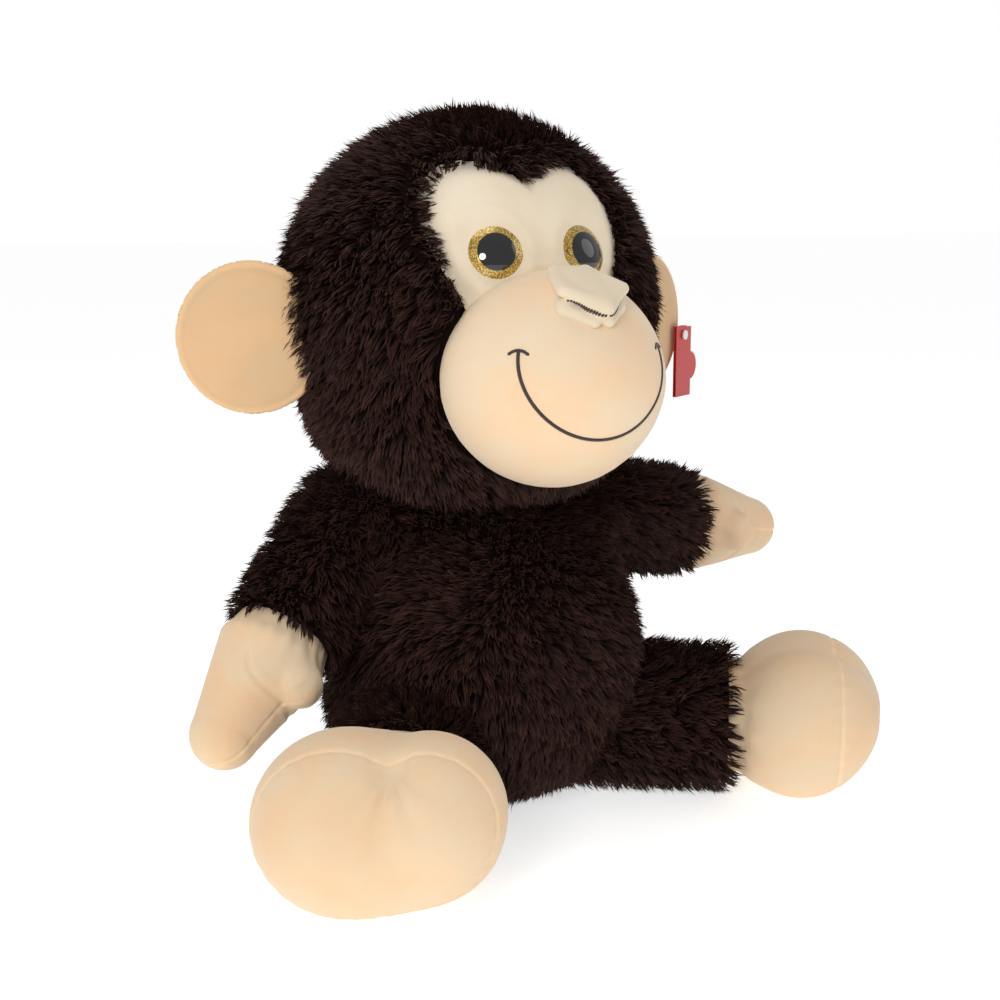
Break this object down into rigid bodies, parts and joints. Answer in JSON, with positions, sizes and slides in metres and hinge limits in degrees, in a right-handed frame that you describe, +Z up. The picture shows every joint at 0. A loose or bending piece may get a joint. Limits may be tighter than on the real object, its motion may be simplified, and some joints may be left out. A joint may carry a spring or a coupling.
{
  "type": "stuffed monkey",
  "caption": "Sitting plush monkey with a dark long-pile fur body, cream velour face, muzzle, ears, hands and feet, glitter safety eyes, a stitched smile and a hang tag.",
  "frame": {"origin": "centre of the flat seat under the torso", "axes": "+Z up, the monkey faces -Y, the monkey's own left is +X"},
  "size_m": [0.4162, 0.3086, 0.393],
  "materials": {
    "fur": "long dark brown plush pile with slightly redder tips",
    "velour": "short cream velour with a soft sheen",
    "filling": "white polyester fibre",
    "thread": "dark brown embroidery thread",
    "eye_clear": "clear glossy acrylic dome",
    "eye_glitter": "gold glitter",
    "eye_black": "glossy black plastic",
    "washer": "white moulded plastic",
    "card": "red coated card",
    "nylon": "translucent nylon"
  },
  "bodies": {
    "torso": {"torso_cover_front": "fur", "torso_cover_back": "fur", "torso_filling": "filling"},
    "neck": {"neck_filling": "filling"},
    "head": {"head_cover_left": "fur", "head_cover_right": "fur", "head_filling": "filling", "face_mask": "velour", "muzzle_cover": "velour", "muzzle_filling": "filling", "nose_flap": "velour", "nostril_stitching": "thread", "smile_stitching": "thread", "eye_lens_left": "eye_clear", "eye_lens_right": "eye_clear", "eye_iris_left": "eye_glitter", "eye_iris_right": "eye_glitter", "eye_pupil_left": "eye_black", "eye_pupil_right": "eye_black", "eye_shank_left": "eye_black", "eye_shank_right": "eye_black", "eye_washers": "washer"},
    "ear_left": {"ear_front_left": "velour", "ear_back_left": "velour", "ear_wadding_left": "filling", "tag_fastener": "nylon"},
    "ear_right": {"ear_front_right": "velour", "ear_back_right": "velour", "ear_wadding_right": "filling"},
    "tag": {"hang_tag": "card"},
    "arm_left": {"sleeve_left": "fur", "arm_filling_left": "filling", "hand_back_left": "velour", "hand_palm_left": "velour", "hand_filling_left": "filling"},
    "arm_right": {"sleeve_right": "fur", "arm_filling_right": "filling", "hand_back_right": "velour", "hand_palm_right": "velour", "hand_filling_right": "filling"},
    "leg_left": {"leg_cover_left": "fur", "leg_filling_left": "filling", "foot_top_left": "velour", "foot_sole_left": "velour", "foot_filling_left": "filling"},
    "leg_right": {"leg_cover_right": "fur", "leg_filling_right": "filling", "foot_top_right": "velour", "foot_sole_right": "velour", "foot_filling_right": "filling"}
  },
  "joints": [
    {"name": "neck_turn", "type": "hinge", "parent": "torso", "child": "neck", "pos_m": [0, 0, 0.235], "axis": [0, 0, 1], "range_deg": [-35, 35]},
    {"name": "head_nod", "type": "hinge", "parent": "neck", "child": "head", "pos_m": [0, 0, 0.235], "axis": [1, 0, 0], "range_deg": [-15, 12]},
    {"name": "ear_flop_left", "type": "hinge", "parent": "head", "child": "ear_left", "pos_m": [0.1097, 0.005, 0.27], "axis": [0, 0, 1], "range_deg": [-20, 20], "stiffness_Nm_per_rad": 0.03},
    {"name": "ear_flop_right", "type": "hinge", "parent": "head", "child": "ear_right", "pos_m": [-0.1097, 0.005, 0.27], "axis": [0, 0, -1], "range_deg": [-20, 20], "stiffness_Nm_per_rad": 0.03},
    {"name": "tag_swing", "type": "hinge", "parent": "ear_left", "child": "tag", "pos_m": [0.15818, 0.033, 0.26], "axis": [0.5, -0.866, 0], "range_deg": [-25, 25]},
    {"name": "shoulder_left", "type": "hinge", "parent": "torso", "child": "arm_left", "pos_m": [0.082, 0, 0.156], "axis": [0, -1, 0], "range_deg": [-35, 15]},
    {"name": "shoulder_right", "type": "hinge", "parent": "torso", "child": "arm_right", "pos_m": [-0.082, 0, 0.156], "axis": [0, 1, 0], "range_deg": [0, 50]},
    {"name": "hip_left", "type": "hinge", "parent": "torso", "child": "leg_left", "pos_m": [0.046, -0.028, 0.045], "axis": [0, 0, 1], "range_deg": [-25, 10]},
    {"name": "hip_right", "type": "hinge", "parent": "torso", "child": "leg_right", "pos_m": [-0.046, -0.028, 0.045], "axis": [0, 0, -1], "range_deg": [-12, 12]}
  ]
}
